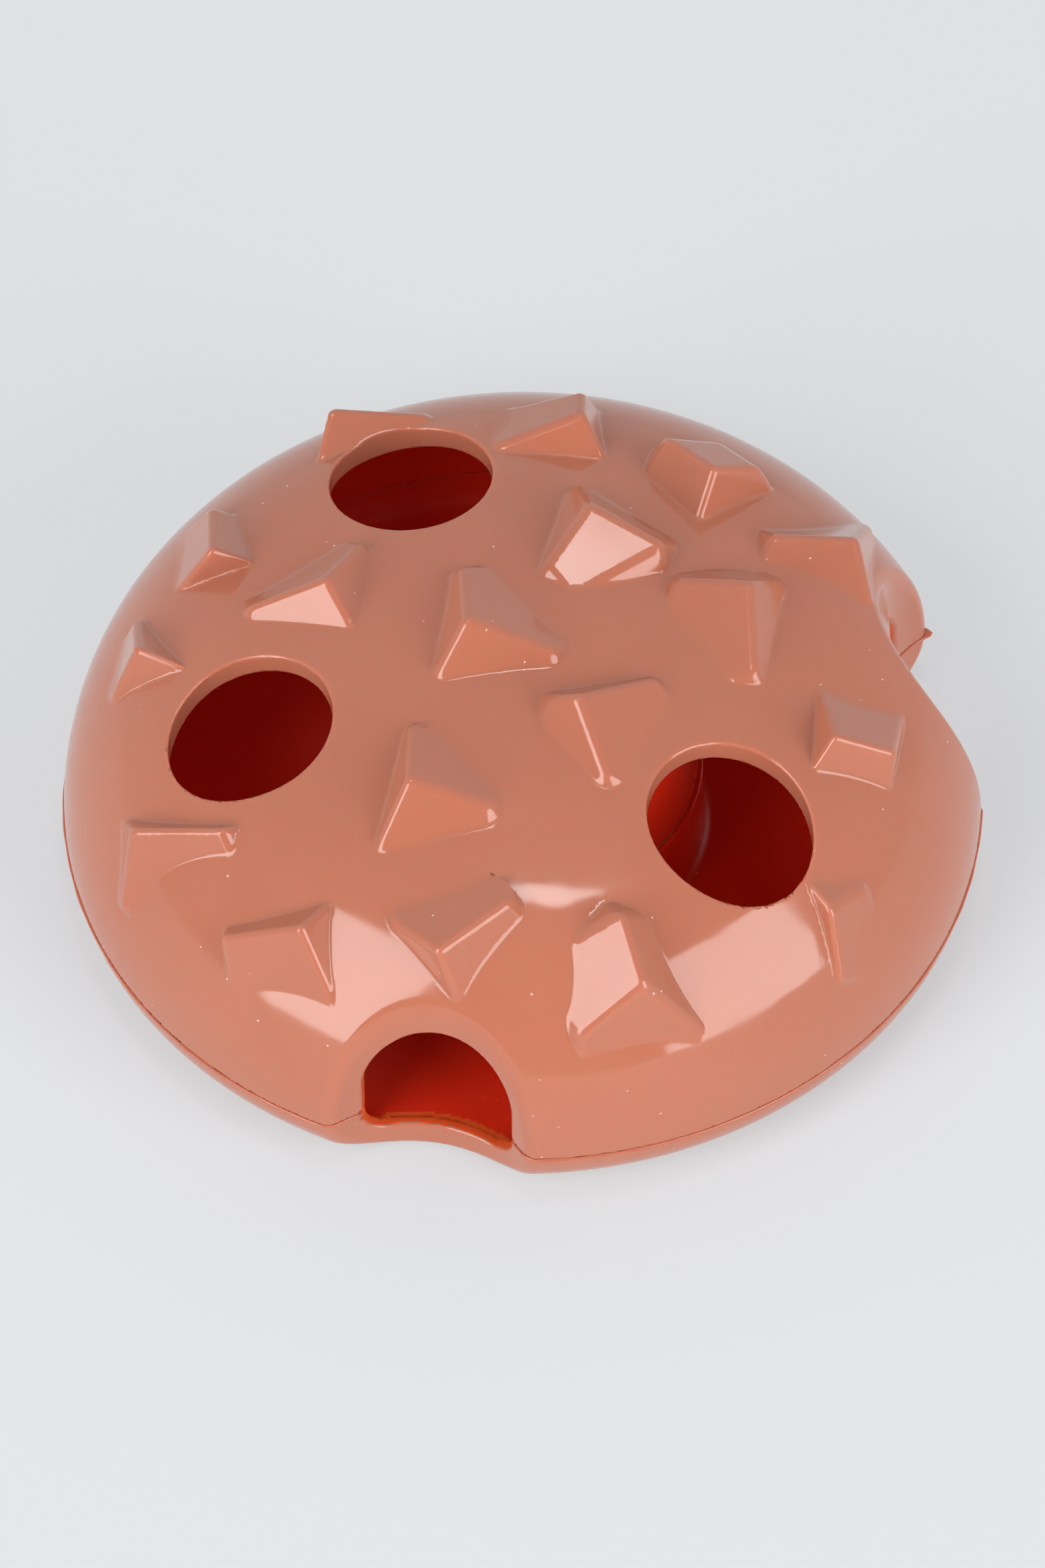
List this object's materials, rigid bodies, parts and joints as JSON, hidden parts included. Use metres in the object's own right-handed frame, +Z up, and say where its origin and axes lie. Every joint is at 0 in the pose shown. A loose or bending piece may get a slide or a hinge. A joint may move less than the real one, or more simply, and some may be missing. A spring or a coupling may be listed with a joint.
{
  "type": "treat dispensing dog toy",
  "caption": "Hollow rubber cookie with raised chunks on its dome, round treat holes and two bite notches, each with an arched port; bonded from two moulded halves.",
  "frame": {"origin": "centre of the toy's axis on the flat underside", "axes": "+Z up through the crown of the dome; -Y towards the front bite, +X towards the right bite"},
  "size_m": [0.1151, 0.1152, 0.046],
  "materials": {
    "rubber": "glossy moulded",
    "cement": "glossy"
  },
  "bodies": {
    "root": {"upper_shell": "rubber", "lower_shell": "rubber", "rim_bond_long": "cement", "rim_bond_short": "cement", "post_bond": "cement"}
  },
  "joints": []
}
